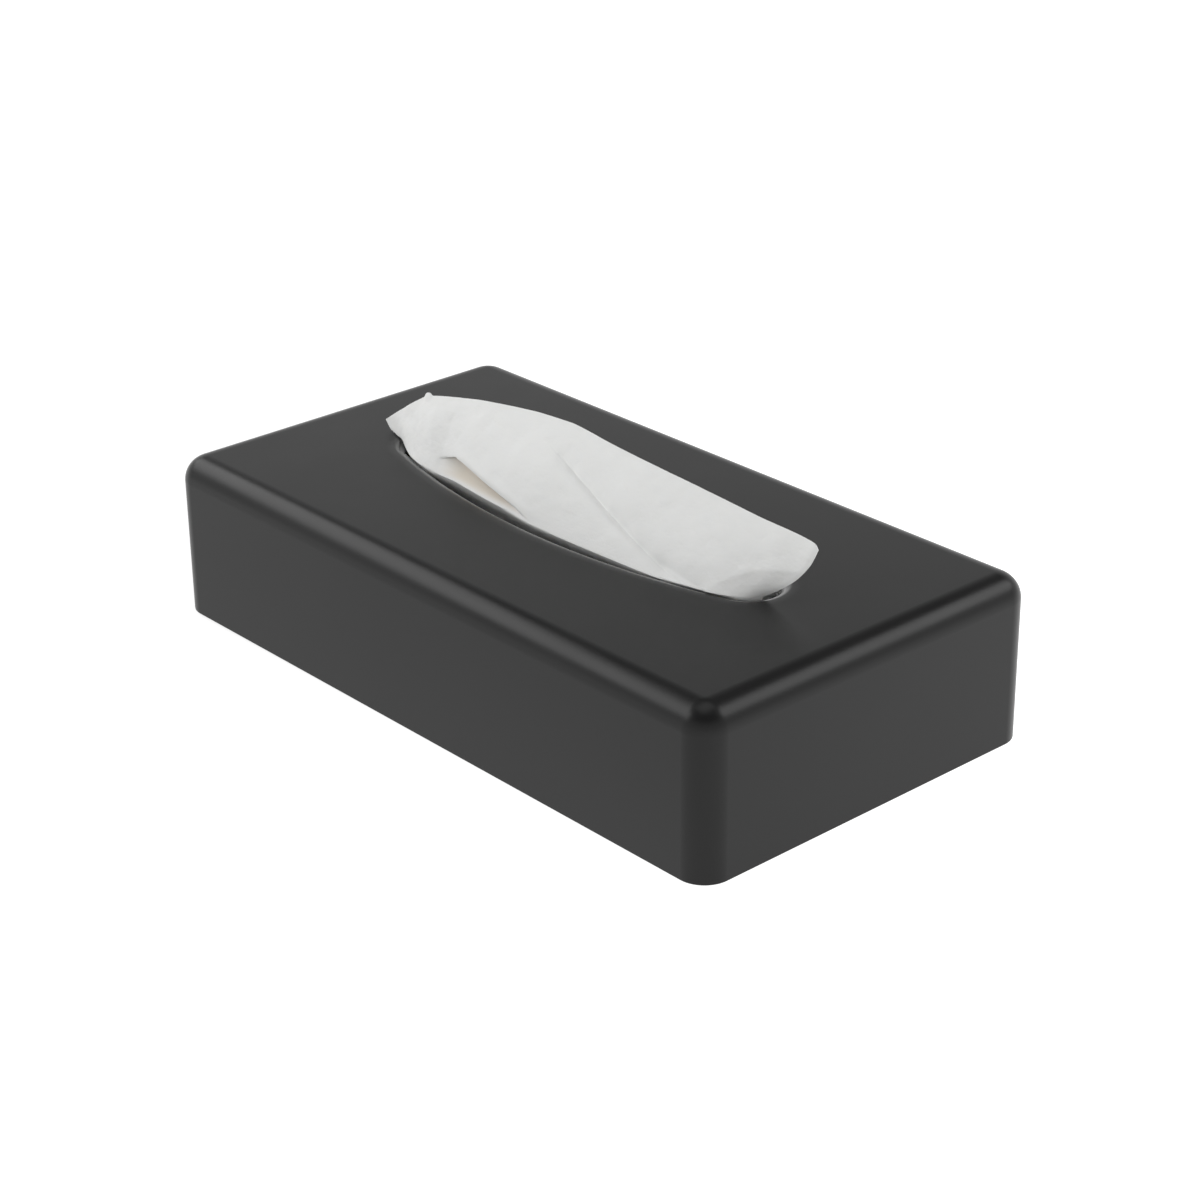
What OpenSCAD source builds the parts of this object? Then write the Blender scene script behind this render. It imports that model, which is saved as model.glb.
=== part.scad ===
// Low tabletop napkin dispenser: a lift-off cover with an oval slot over a base tray,
// with a sprung follower plate that raises a pack of interfolded napkins.
// X runs along the long side, Y from front to back, Z up. Z = 0 is the underside of the feet.

/* [Cover] */
// Length of the cover
cover_l = 250; // [246:1:320]
// Width of the cover
cover_w = 135; // [132:1:180]
// Height of the cover, from its lower edge to its top
cover_h = 54.3; // [52:0.1:80]
// Wall thickness of the cover
cover_wall = 2.5; // [1.5:0.1:3]
// Radius of the upright corners
corner_r = 9.3; // [9:0.1:14]
// Radius of the edge round the top, smaller than that of the corners
edge_r = 8.3; // [4:0.1:9]

/* [Slot] */
// Length of the oval slot, across the outside of its lip
slot_l = 172; // [140:1:180]
// Width of the oval slot, across the outside of its lip
slot_w = 48; // [36:1:60]
// Radius of the two ends of the oval
slot_end_r = 13; // [9:0.5:16]
// Radius of the lip that turns down into the slot
lip_r = 4; // [3.5:0.1:5]
// Straight part of the lip below its curve
lip_drop = 1.5; // [1:0.1:3]

/* [Cover posts and magnets] */
// Radius of the post in each corner of the cover
post_r = 5.5; // [5.2:0.1:6]
// Thickness of the webs that tie a post to the walls
web_t = 1.6; // [1:0.1:2.5]
// Radius of a magnet
magnet_r = 4; // [3:0.1:4.2]
// Thickness of a magnet
magnet_t = 3; // [2:0.1:6]
// Thickness of the steel keeper under a magnet
keeper_t = 1.5; // [1:0.1:2]
// Air gap between a magnet and its keeper
magnet_gap = 0.25; // [0.2:0.05:0.5]

/* [Base tray] */
// Gap between the cover's wall and the tray's rim
rim_gap = 0.4; // [0.3:0.05:1]
// Thickness of the tray's floor
floor_t = 2.5; // [2.3:0.1:4]
// Height of the rim above the floor
rim_h = 6; // [4:0.5:10]
// Thickness of the rim
rim_t = 1.8; // [1.2:0.1:2.5]
// Radius of a fixing hole
fixing_r = 2.25; // [1.6:0.05:2.7]
// Distance between the fixing holes along X
fixing_x = 224; // [220:1:226]
// Distance between the fixing holes along Y
fixing_y = 72; // [60:1:76]

/* [Feet] */
// Radius of a foot
foot_r = 7; // [4:0.5:9]
// How far a foot stands below the tray and the cover
foot_proud = 0.8; // [0.5:0.1:3]
// How far a foot is let into the tray
foot_inset = 1; // [0.5:0.1:1.2]

/* [Napkins] */
// Width of a napkin, which is the length of the pack
pack_l = 200; // [160:1:202]
// Depth of the pack, which is half of a napkin's length
pack_w = 100; // [80:1:104]
// Thickness of the napkins that are left
pack_h = 14; // [5:0.5:14]
// Thickness drawn for the popped-up napkin
napkin_t = 1; // [0.6:0.1:1.5]

/* [Follower] */
// Height of the follower's top face when it is up against its stop
follower_z = 22; // [20:0.5:24]
// How far the follower can be pressed down
follower_travel = 14; // [8:0.5:14]
// Sheet thickness of the follower and the end guides
sheet_t = 1.2; // [0.8:0.1:1.5]
// Depth of the follower's turned-down edges below its sheet
flange_h = 2; // [1:0.1:2.2]
// Width of the tab at each end of the follower
tab_w = 12; // [8:0.5:20]

/* [Springs] */
// Wire radius of a spring
wire_r = 0.6; // [0.4:0.05:0.7]
// Radius of a spring's bottom coil, at the middle of its wire
spring_r_low = 14.5; // [11:0.5:16]
// Radius of a spring's top coil, at the middle of its wire
spring_r_high = 7.6; // [6:0.1:9]
// Number of turns in a spring
spring_turns = 6; // [4:1:7]

/* [End guides] */
// Width of an end guide
guide_w = 44; // [30:1:50]
// Height of an end guide's top edge
guide_z = 44; // [38:0.5:45]
// Reach of an end guide's foot
guide_foot = 13; // [11:0.5:13.5]
// Radius of a guide screw's thread
screw_r = 1.5; // [1:0.1:2]

/* [Hidden] */
$fn = 96;

// Clearances
eps = 0.01;
touch_gap = 0.02;
pocket_gap = 0.05;
side_gap = 2;
slide_gap = 0.5;

// Heights
tray_z = foot_proud;
floor_z = tray_z + floor_t;
rim_z = floor_z + rim_h;
cover_z = foot_proud;
top_z = cover_z + cover_h;
ceiling_z = top_z - cover_wall;
seat_h = 1.8;
seat_z = floor_z + seat_h;
post_z = seat_z + magnet_gap;
pack_z = follower_z + touch_gap;
pack_top_z = pack_z + pack_h;

// Places of what sits in the corners
inner_l = cover_l - 2 * cover_wall;
inner_w = cover_w - 2 * cover_wall;
tray_l = inner_l - 2 * rim_gap;
tray_w = inner_w - 2 * rim_gap;
tray_corner_r = corner_r - cover_wall - rim_gap;
post_inset = rim_gap + rim_t + slide_gap + post_r;
post_x = inner_l / 2 - post_inset;
post_y = inner_w / 2 - post_inset;
seat_r = post_r + 0.5;
keeper_r = magnet_r + 0.5;
foot_x = 0.38 * cover_l;
foot_y = cover_w / 3;

// Follower, guides and springs
follower_l = pack_l + 2;
follower_w = pack_w;
guide_x = follower_l / 2 + side_gap;
tab_l = side_gap + sheet_t + 3;
guide_pad_h = 2;
guide_foot_z = floor_z + guide_pad_h;
bend_r = 1;
guide_slot_gap = 0.6;
guide_slot_w = tab_w + 2 * guide_slot_gap;
guide_slot_z = follower_z - follower_travel - sheet_t - guide_slot_gap;
screw_x = guide_x + guide_foot * 0.62;
screw_y = guide_w * 0.32;
screw_head_r = 2.9;
screw_head_h = 1.8;
screw_l = 3.4;
spring_x = pack_l / 4;
spring_bottom_z = floor_z + touch_gap;
spring_top_z = follower_z - sheet_t - touch_gap;
ring_h = 1.6;
ring_t = 1.6;
ring_gap = 0.4;
cup_h = 1.2;
cup_gap = 0.35;

// Side fences of the tray
fence_x = pack_l * 0.3;
fence_y = pack_w / 2 + side_gap;
fence_l = 32;
fence_t = 2;
fence_z = floor_z + 26;
gusset_reach = 5;

// Oval of the slot: two long arcs and two end arcs that meet without a corner
slot_a = slot_l / 2;
slot_b = slot_w / 2;
end_x = slot_a - slot_end_r;
side_r = (end_x ^ 2 + slot_b ^ 2 - slot_end_r ^ 2) / (2 * (slot_b - slot_end_r));
side_y = side_r - slot_b;
meet_angle = atan(end_x / side_y);
// The lip starts this far inside both faces of the top, so that it joins the top without a sliver
lip_step = 0.02;
// How far the lip reaches into the top outside the oval's line
lip_root = 0.8;

// Each of the four corners: its sign along X, then along Y
FRONT_LEFT = [-1, -1];
FRONT_RIGHT = [1, -1];
REAR_LEFT = [-1, 1];
REAR_RIGHT = [1, 1];
CORNERS = [FRONT_LEFT, FRONT_RIGHT, REAR_RIGHT, REAR_LEFT];

COVER_COLOUR = [0.21, 0.21, 0.215];
TRAY_COLOUR = [0.16, 0.16, 0.165];
RUBBER_COLOUR = [0.08, 0.08, 0.08];
STEEL_COLOUR = [0.62, 0.63, 0.65];
BRIGHT_COLOUR = [0.78, 0.79, 0.8];
PAPER_COLOUR = [0.93, 0.93, 0.91];

// ---------- shared shapes ----------

module rounded_rect(l, w, r) {
    square([l - 2 * r, w], center = true);
    square([l, w - 2 * r], center = true);
    for (c = CORNERS) translate([c[0] * (l / 2 - r), c[1] * (w / 2 - r)]) circle(r);
}

// Outline of a wall from the middle of a side outwards: upright, then round into the top
module edge_profile(reach, h, r) {
    square([reach, h - r]);
    square([reach - r, h]);
    translate([reach - r, h - r]) intersection() {
        circle(r);
        square(r);
    }
}

// A block with upright corners of radius rc and a top edge of radius re
module soft_block(l, w, h, rc, re) {
    core_l = l - 2 * rc;
    core_w = w - 2 * rc;
    for (side = [0, 180]) {
        rotate([90, 0, side]) translate([0, 0, -core_w / 2])
            linear_extrude(core_w) edge_profile(l / 2, h, re);
        rotate([90, 0, side + 90]) translate([0, 0, -core_l / 2])
            linear_extrude(core_l) edge_profile(w / 2, h, re);
    }
    for (i = [0:3]) translate([CORNERS[i][0] * core_l / 2, CORNERS[i][1] * core_w / 2, 0])
        rotate(180 + 90 * i) rotate_extrude(angle = 90) edge_profile(rc, h, re);
}

// A point on the oval's line and the way into the slot there, for a turn of 0 to 360 degrees
function oval_point(turn) =
    let (t = (turn + 90) % 180 - 90, flip = turn >= 90 && turn < 270 ? -1 : 1,
         on_end = abs(t) <= 90 - meet_angle,
         centre = on_end ? [end_x, 0] : [0, -sign(t) * side_y],
         r = on_end ? slot_end_r : side_r)
    [flip * (centre + r * [cos(t), sin(t)]), -flip * [cos(t), sin(t)]];

// Turns at which the lip has a section: closer together where the oval bends more
OVAL_TURNS = [for (q = [0:3]) let (lo = q * 90, end_part = 90 - meet_angle)
    each (q % 2 == 0
        ? [for (i = [0:11]) lo + end_part * i / 12, for (i = [0:5]) lo + end_part + meet_angle * i / 6]
        : [for (i = [0:5]) lo + meet_angle * i / 6, for (i = [0:11]) lo + meet_angle + end_part * i / 12])];

// Section of the lip, from the oval's line into the slot: a root inside the top, a quarter turn, a short drop.
LIP_SECTION = let (inner_r = lip_r - cover_wall) concat(
    [[-lip_root, -lip_step]],
    [for (a = [90:-15:0]) [lip_r * cos(a), lip_r * sin(a) - lip_r - lip_step]],
    [[lip_r, -lip_r - lip_drop], [inner_r, -lip_r - lip_drop]],
    [for (a = [0:30:90]) [inner_r * cos(a), inner_r * sin(a) - lip_r + lip_step]],
    [[-lip_root, lip_step - cover_wall]]);

// The oval, grown outwards all round
module slot_oval(out) {
    intersection() {
        translate([0, -side_y]) circle(side_r + out);
        translate([0, side_y]) circle(side_r + out);
        square([2 * (side_r + out) * sin(meet_angle), slot_w + 2 * out], center = true);
    }
    for (s = [-1, 1]) translate([s * end_x, 0]) circle(slot_end_r + out);
}

module slot_lip() {
    stations = len(OVAL_TURNS);
    n = len(LIP_SECTION);
    points = [for (turn = OVAL_TURNS) let (o = oval_point(turn)) for (p = LIP_SECTION)
              [o[0][0] + o[1][0] * p[0], o[0][1] + o[1][1] * p[0], p[1]]];
    faces = [for (i = [0:stations - 1]) for (k = [0:n - 1])
             let (j = (i + 1) % stations, m = (k + 1) % n)
             each [[i * n + k, i * n + m, j * n + m], [i * n + k, j * n + m, j * n + k]]];
    polyhedron(points, faces);
}

// ---------- cover ----------

module cover_post(c) {
    post_top = ceiling_z + cover_wall / 2;
    web_z = rim_z + 1;
    reach = post_inset + cover_wall / 2;
    translate([c[0] * post_x, c[1] * post_y, 0]) {
        translate([0, 0, post_z]) cylinder(r = post_r, h = post_top - post_z);
        translate([c[0] > 0 ? 0 : -reach, -web_t / 2, web_z]) cube([reach, web_t, post_top - edge_r - web_z]);
        translate([-web_t / 2, c[1] > 0 ? 0 : -reach, web_z]) cube([web_t, reach, post_top - edge_r - web_z]);
    }
}

module cover_shell() {
    color(COVER_COLOUR) {
        difference() {
            translate([0, 0, cover_z]) soft_block(cover_l, cover_w, cover_h, corner_r, edge_r);
            translate([0, 0, cover_z - 1])
                soft_block(inner_l, inner_w, cover_h - cover_wall + 1, corner_r - cover_wall, edge_r - cover_wall);
            translate([0, 0, ceiling_z - 1]) linear_extrude(cover_wall + 2) slot_oval(lip_root / 2);
        }
        translate([0, 0, top_z]) slot_lip();
        for (c = CORNERS) difference() {
            cover_post(c);
            magnet_at(c, pocket_gap);
        }
    }
}

module magnet_at(c, gap) {
    translate([c[0] * post_x, c[1] * post_y, post_z - gap])
        cylinder(r = magnet_r + gap, h = magnet_t + gap);
}

module magnet(c) {
    color(BRIGHT_COLOUR) magnet_at(c, 0);
}

// ---------- base ----------

module at_corner(c, x, y, z) {
    translate([c[0] * x, c[1] * y, z]) children();
}

module side_fence() {
    translate([-fence_l / 2, 0, floor_z - eps]) cube([fence_l, fence_t, fence_z - floor_z]);
    for (x = [-fence_l / 2, fence_l / 2 - fence_t]) translate([x, fence_t - eps, floor_z - eps])
        rotate([90, 0, 90]) linear_extrude(fence_t)
            polygon([[0, 0], [gusset_reach, 0], [0, fence_z - floor_z - 4]]);
}

module base_tray() {
    color(TRAY_COLOUR) difference() {
        union() {
            translate([0, 0, tray_z]) linear_extrude(floor_t) rounded_rect(tray_l, tray_w, tray_corner_r);
            translate([0, 0, tray_z]) linear_extrude(floor_t + rim_h) difference() {
                rounded_rect(tray_l, tray_w, tray_corner_r);
                rounded_rect(tray_l - 2 * rim_t, tray_w - 2 * rim_t, tray_corner_r - rim_t);
            }
            for (c = CORNERS) at_corner(c, post_x, post_y, floor_z - eps) cylinder(r = seat_r, h = seat_h + eps);
            for (s = [-1, 1]) {
                translate([s * (guide_x + guide_foot / 2), 0, floor_z + (guide_pad_h - eps) / 2])
                    cube([guide_foot, guide_w, guide_pad_h + eps], center = true);
                translate([s * spring_x, 0, floor_z - eps]) difference() {
                    cylinder(r = spring_r_low + wire_r + ring_gap + ring_t, h = ring_h);
                    translate([0, 0, -1]) cylinder(r = spring_r_low + wire_r + ring_gap, h = ring_h + 2);
                }
                for (x = [-fence_x, fence_x]) translate([x, s * fence_y, 0])
                    rotate(s > 0 ? 0 : 180) side_fence();
            }
        }
        for (c = CORNERS) {
            at_corner(c, post_x, post_y, seat_z - keeper_t) cylinder(r = keeper_r + pocket_gap, h = keeper_t + 1);
            at_corner(c, fixing_x / 2, fixing_y / 2, tray_z - 1) cylinder(r = fixing_r, h = floor_t + 2);
            at_corner(c, foot_x, foot_y, tray_z - 1) cylinder(r = foot_r + pocket_gap, h = foot_inset + 1);
            at_corner(c, screw_x, screw_y, guide_foot_z - screw_l) cylinder(r = screw_r + pocket_gap, h = screw_l + 1);
        }
    }
}

module foot(c) {
    bevel = 0.4;
    color(RUBBER_COLOUR) at_corner(c, foot_x, foot_y, 0) {
        cylinder(r1 = foot_r - bevel, r2 = foot_r, h = bevel);
        translate([0, 0, bevel]) cylinder(r = foot_r, h = foot_proud + foot_inset - bevel);
    }
}

module keeper(c) {
    color(STEEL_COLOUR) at_corner(c, post_x, post_y, seat_z - keeper_t) cylinder(r = keeper_r, h = keeper_t);
}

// ---------- end guides ----------

// Section of a guide across its fold: foot outwards, wall up
module guide_section() {
    outer = bend_r + sheet_t;
    translate([outer, 0]) square([guide_foot - outer, sheet_t]);
    translate([0, outer]) square([sheet_t, guide_z - guide_foot_z - outer]);
    intersection() {
        translate([outer, outer]) difference() {
            circle(outer);
            circle(bend_r);
        }
        square(outer);
    }
}

module end_guide(s) {
    top_r = 6;
    color(STEEL_COLOUR) rotate(s > 0 ? 0 : 180) difference() {
        intersection() {
            translate([guide_x, guide_w / 2, guide_foot_z]) rotate([90, 0, 0])
                linear_extrude(guide_w) guide_section();
            translate([guide_x - 1, 0, guide_foot_z]) rotate([90, 0, 90]) linear_extrude(guide_foot + 2) {
                translate([-guide_w / 2, 0]) square([guide_w, guide_z - guide_foot_z - top_r]);
                translate([-guide_w / 2 + top_r, 0]) square([guide_w - 2 * top_r, guide_z - guide_foot_z]);
                for (y = [-1, 1]) translate([y * (guide_w / 2 - top_r), guide_z - guide_foot_z - top_r]) circle(top_r);
            }
        }
        translate([guide_x - 1, -guide_slot_w / 2, guide_slot_z])
            cube([guide_foot + 2, guide_slot_w, follower_z + touch_gap - guide_slot_z]);
        for (y = [-screw_y, screw_y]) translate([screw_x, y, guide_foot_z - 1])
            cylinder(r = screw_r + 2 * pocket_gap, h = sheet_t + 2);
    }
}

module guide_screws() {
    socket_r = 1.3;
    color(BRIGHT_COLOUR) for (c = CORNERS) at_corner(c, screw_x, screw_y, guide_foot_z + sheet_t) difference() {
        union() {
            translate([0, 0, -sheet_t - screw_l + 0.2]) cylinder(r = screw_r, h = sheet_t + screw_l);
            translate([0, 0, touch_gap]) cylinder(r1 = screw_head_r, r2 = screw_head_r * 0.72, h = screw_head_h);
        }
        translate([0, 0, screw_head_h * 0.4]) cylinder(r = socket_r, h = screw_head_h, $fn = 6);
    }
}

// ---------- follower and springs ----------

module follower_plate() {
    plate_corner_r = 4;
    color(STEEL_COLOUR) {
        translate([0, 0, follower_z - sheet_t]) linear_extrude(sheet_t) {
            rounded_rect(follower_l, follower_w, plate_corner_r);
            square([follower_l + 2 * tab_l, tab_w], center = true);
        }
        for (s = [-1, 1]) {
            translate([0, s * (follower_w - sheet_t) / 2, follower_z - sheet_t - flange_h / 2])
                cube([follower_l - 2 * plate_corner_r, sheet_t, flange_h + eps], center = true);
            translate([s * spring_x, 0, follower_z - sheet_t - cup_h])
                cylinder(r = spring_r_high - wire_r - cup_gap, h = cup_h + eps);
        }
    }
}

// Conical coil, closed flat at both ends
function spring_rise(turn) =
    let (t = min(max((turn - 0.75) / (spring_turns - 1.5), 0), 1)) t;
function spring_point(a) =
    let (turn = a / 360,
         r = spring_r_low + (spring_r_high - spring_r_low) * turn / spring_turns,
         z = spring_bottom_z + wire_r + (spring_top_z - spring_bottom_z - 2 * wire_r) * spring_rise(turn))
    [r * cos(a), r * sin(a), z];

module spring_coil() {
    step = 15;
    sides = 8;
    rings = 360 * spring_turns / step + 1;
    points = [for (i = [0:rings - 1]) let (a = i * step, p = spring_point(a))
              for (k = [0:sides - 1]) let (w = 360 * k / sides)
              [p[0] + wire_r * cos(w) * cos(a), p[1] + wire_r * cos(w) * sin(a), p[2] + wire_r * sin(w)]];
    walls = [for (i = [0:rings - 2]) for (k = [0:sides - 1])
             let (n = (k + 1) % sides, b = i * sides)
             [b + k, b + n, b + sides + n, b + sides + k]];
    ends = [[for (k = [sides - 1:-1:0]) k], [for (k = [0:sides - 1]) (rings - 1) * sides + k]];
    polyhedron(points, concat(walls, ends));
}

module follower_spring(s) {
    color(BRIGHT_COLOUR) translate([s * spring_x, 0, 0]) spring_coil();
}

// ---------- napkins ----------

// The folds run along the pack's long sides and leave them rounded
module napkin_pack() {
    fold_r = 3;
    color(PAPER_COLOUR) translate([-pack_l / 2, 0, pack_z]) rotate([90, 0, 90]) linear_extrude(pack_l)
        translate([0, pack_h / 2]) rounded_rect(pack_w, pack_h, min(fold_r, pack_h / 2 - 1));
}

// The popped-up napkin: rows from the pack up through the slot to its free edge.
// Each row: height, half width, how far its middle bows to the front, and its lean to the back.
NAPKIN_ROWS = [
    [pack_top_z + 0.5, 0.68 * slot_a, 0.25 * slot_b, 0],
    [top_z - lip_r - lip_drop - 2, 0.8 * slot_a, 0.55 * slot_b, 0],
    [top_z - lip_r, 0.85 * slot_a, 0.66 * slot_b, 0],
    [top_z, 0.9 * slot_a, 0.7 * slot_b, 0.5],
    [top_z + 7, 0.48 * pack_l, 0.55 * slot_b, 3],
    [top_z + 15, 0.485 * pack_l, 0.28 * slot_b, 5],
    [top_z + 23, 0.485 * pack_l, 0, 7]];
NAPKIN_COLUMNS = 24;

function napkin_point(row, i) =
    let (s = 2 * i / NAPKIN_COLUMNS - 1, rise = row[0] - top_z, end_drop = rise > 0 ? rise * 0.75 * s ^ 4 : 0)
    [s * row[1], row[3] - row[2] * sqrt(max(1 - s ^ 2, 0)), row[0] - end_drop];

module top_napkin() {
    count = NAPKIN_COLUMNS + 1;
    front = [for (row = NAPKIN_ROWS) for (i = [0:NAPKIN_COLUMNS]) napkin_point(row, i)];
    back = [for (p = front) [p[0], p[1] + napkin_t * 1.3, p[2]]];
    n = len(front);
    rows = len(NAPKIN_ROWS);
    skins = [for (r = [0:rows - 2]) for (i = [0:NAPKIN_COLUMNS - 1])
             let (a = r * count + i, b = a + 1, c = a + count, d = c + 1)
             each [[a, c, d], [a, d, b], [n + a, n + d, n + c], [n + a, n + b, n + d]]];
    long_edges = [for (i = [0:NAPKIN_COLUMNS - 1])
                  let (a = i, c = (rows - 1) * count + i)
                  each [[a, a + 1, n + a + 1], [a, n + a + 1, n + a],
                        [c, n + c, n + c + 1], [c, n + c + 1, c + 1]]];
    short_edges = [for (r = [0:rows - 2])
                   let (a = r * count, b = a + count, c = a + NAPKIN_COLUMNS, d = c + count)
                   each [[a, n + a, n + b], [a, n + b, b], [c, d, n + d], [c, n + d, n + c]]];
    color(PAPER_COLOUR) polyhedron(concat(front, back), concat(skins, long_edges, short_edges));
}

base_tray();
foot(FRONT_LEFT);  // foot_front_left
foot(FRONT_RIGHT);  // foot_front_right
foot(REAR_LEFT);  // foot_rear_left
foot(REAR_RIGHT);  // foot_rear_right
keeper(FRONT_LEFT);  // keeper_front_left
keeper(FRONT_RIGHT);  // keeper_front_right
keeper(REAR_LEFT);  // keeper_rear_left
keeper(REAR_RIGHT);  // keeper_rear_right
end_guide(-1);  // end_guide_left
end_guide(1);  // end_guide_right
guide_screws();
follower_spring(-1);  // follower_spring_left
follower_spring(1);  // follower_spring_right
follower_plate();
napkin_pack();
cover_shell();
magnet(FRONT_LEFT);  // magnet_front_left
magnet(FRONT_RIGHT);  // magnet_front_right
magnet(REAR_LEFT);  // magnet_rear_left
magnet(REAR_RIGHT);  // magnet_rear_right
top_napkin();
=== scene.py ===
import math

import bmesh
import bpy
import numpy as np
from mathutils import Matrix, Vector, noise


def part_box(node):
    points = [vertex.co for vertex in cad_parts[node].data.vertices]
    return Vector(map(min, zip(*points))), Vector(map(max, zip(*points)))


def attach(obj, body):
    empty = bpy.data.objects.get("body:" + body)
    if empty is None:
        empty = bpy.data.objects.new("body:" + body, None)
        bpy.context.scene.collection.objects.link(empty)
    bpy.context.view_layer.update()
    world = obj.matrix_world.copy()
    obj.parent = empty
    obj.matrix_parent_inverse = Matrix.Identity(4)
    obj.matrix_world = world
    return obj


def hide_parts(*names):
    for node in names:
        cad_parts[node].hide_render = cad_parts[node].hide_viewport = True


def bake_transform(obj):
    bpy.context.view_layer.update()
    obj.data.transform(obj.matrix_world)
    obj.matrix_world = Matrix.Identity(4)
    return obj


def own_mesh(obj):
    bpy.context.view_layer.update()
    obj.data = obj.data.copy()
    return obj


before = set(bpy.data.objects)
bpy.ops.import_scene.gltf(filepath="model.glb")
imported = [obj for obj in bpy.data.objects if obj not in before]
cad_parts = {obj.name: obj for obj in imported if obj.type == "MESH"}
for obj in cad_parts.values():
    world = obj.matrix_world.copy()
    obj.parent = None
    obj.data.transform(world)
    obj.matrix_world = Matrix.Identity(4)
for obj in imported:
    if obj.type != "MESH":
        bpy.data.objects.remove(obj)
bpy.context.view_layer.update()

# ---------- sizes, in metres, in the same frame as the frame's parts ----------

MM = 0.001
COVER_LOW, COVER_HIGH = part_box("cover_shell")
PACK_LOW, PACK_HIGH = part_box("napkin_pack")
TRAY_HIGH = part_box("base_tray")[1]
MAGNET_LOW, MAGNET_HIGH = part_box("magnet_front_right")
SPRING_LOW, SPRING_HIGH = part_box("follower_spring_right")
TOP_Z = COVER_HIGH.z
COVER_SIZE = COVER_HIGH - COVER_LOW
WALL = 2.5 * MM
CORNER_R = 9.3 * MM
EDGE_R = 8.3 * MM

# The slot is an oval of four arcs: two tight ones at its ends, two long flat ones at its sides.
SLOT_HALF_L = 86 * MM
SLOT_HALF_W = 24 * MM
END_R = 13 * MM
LIP_R = 4 * MM
LIP_DROP = 1.5 * MM
END_X = SLOT_HALF_L - END_R
SIDE_R = (END_X**2 + SLOT_HALF_W**2 - END_R**2) / (2 * (SLOT_HALF_W - END_R))
SIDE_Y = SIDE_R - SLOT_HALF_W
MEET = math.atan2(END_X, SIDE_Y)
UP = (0, 0, 1)


# ---------- modelling helpers ----------


def deselect():
    bpy.ops.object.select_all(action="DESELECT")


def select_only(*pieces):
    """Selects these pieces and makes the last one active."""
    deselect()
    for piece in pieces:
        piece.select_set(True)
    bpy.context.view_layer.objects.active = pieces[-1]


def join(*pieces):
    """Makes the pieces one, in the last one's mesh."""
    select_only(*pieces)
    bpy.ops.object.join()
    return pieces[-1]


def named(name):
    """Names the piece that was just added, and gives its mesh the same name."""
    piece = bpy.context.object
    piece.name = piece.data.name = name
    return piece


def settle():
    """Puts the active piece's place, turn and scale into its mesh."""
    bpy.ops.object.transform_apply(location=True, rotation=True, scale=True)


def edit():
    bpy.ops.object.mode_set(mode="EDIT")


def leave():
    bpy.ops.object.mode_set(mode="OBJECT")


def pick(piece, kind, wanted):
    """In edit mode, selects the vertices, edges or faces that wanted() says yes to."""
    bpy.ops.mesh.select_mode(type=kind)
    bpy.ops.mesh.select_all(action="DESELECT")
    shape = bmesh.from_edit_mesh(piece.data)
    shape.normal_update()
    for part in {"VERT": shape.verts, "EDGE": shape.edges, "FACE": shape.faces}[kind]:
        if wanted(part):
            part.select_set(True)
    shape.select_flush_mode()
    bmesh.update_edit_mesh(piece.data)


def at_height(edge, z, slack=0.01 * MM):
    return all(abs(v.co.z - z) < slack for v in edge.verts)


def folded(edge, least=50):
    """True if the two faces at this edge turn by more than least degrees."""
    return len(edge.link_faces) == 2 and edge.calc_face_angle(0) > math.radians(least)


def apply_modifier(piece, kind, **settings):
    modifier = piece.modifiers.new(kind.lower(), kind)
    for name, value in settings.items():
        setattr(modifier, name, value)
    select_only(piece)
    bpy.ops.object.modifier_apply(modifier=modifier.name)


def smooth(piece, angle, weighted=False):
    select_only(piece)
    bpy.ops.object.shade_smooth_by_angle(angle=math.radians(angle))
    if weighted:
        apply_modifier(piece, "WEIGHTED_NORMAL", keep_sharp=True, weight=50)


def copy_of(piece, name):
    """A copy with a mesh of its own."""
    other = piece.copy()
    other.data = piece.data.copy()
    other.name = other.data.name = name
    bpy.context.scene.collection.objects.link(other)
    return other


def sheet_mesh(name, points, flat, close=False):
    """A piece from a grid of points, rows by columns, with flat as its UV map in metres."""
    rows, columns = points.shape[:2]
    index = np.arange(rows * columns).reshape(rows, columns)
    faces = np.stack([index[:-1, :-1], index[:-1, 1:], index[1:, 1:], index[1:, :-1]], -1).reshape(-1, 4)
    mesh = bpy.data.meshes.new(name)
    mesh.from_pydata(points.reshape(-1, 3).tolist(), [], faces.tolist())
    layer = mesh.uv_layers.new(name="flat")
    corners = np.zeros(len(mesh.loops), np.int32)
    mesh.loops.foreach_get("vertex_index", corners)
    layer.data.foreach_set("uv", flat.reshape(-1, 2)[corners].astype(np.float32).ravel())
    piece = bpy.data.objects.new(name, mesh)
    bpy.context.scene.collection.objects.link(piece)
    return piece


# ---------- materials ----------


class Wire:
    """One output socket. Arithmetic on it adds the Math nodes that work it out."""

    def __init__(self, board, socket):
        self.board, self.socket = board, socket

    def maths(self, operation, *values):
        found = self.board.node("ShaderNodeMath", {"operation": operation}, dict(enumerate(values)))
        return found.out(0)

    def __add__(self, other):
        return self.maths("ADD", self, other)

    def __radd__(self, other):
        return self.maths("ADD", other, self)

    def __sub__(self, other):
        return self.maths("SUBTRACT", self, other)

    def __rsub__(self, other):
        return self.maths("SUBTRACT", other, self)

    def __mul__(self, other):
        return self.maths("MULTIPLY", self, other)

    def __rmul__(self, other):
        return self.maths("MULTIPLY", other, self)


class Made:
    """A node that was added, whose outputs are read by name or number."""

    def __init__(self, board, node):
        self.board, self.node = board, node

    def out(self, which=0):
        return Wire(self.board, self.node.outputs[which])


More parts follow.
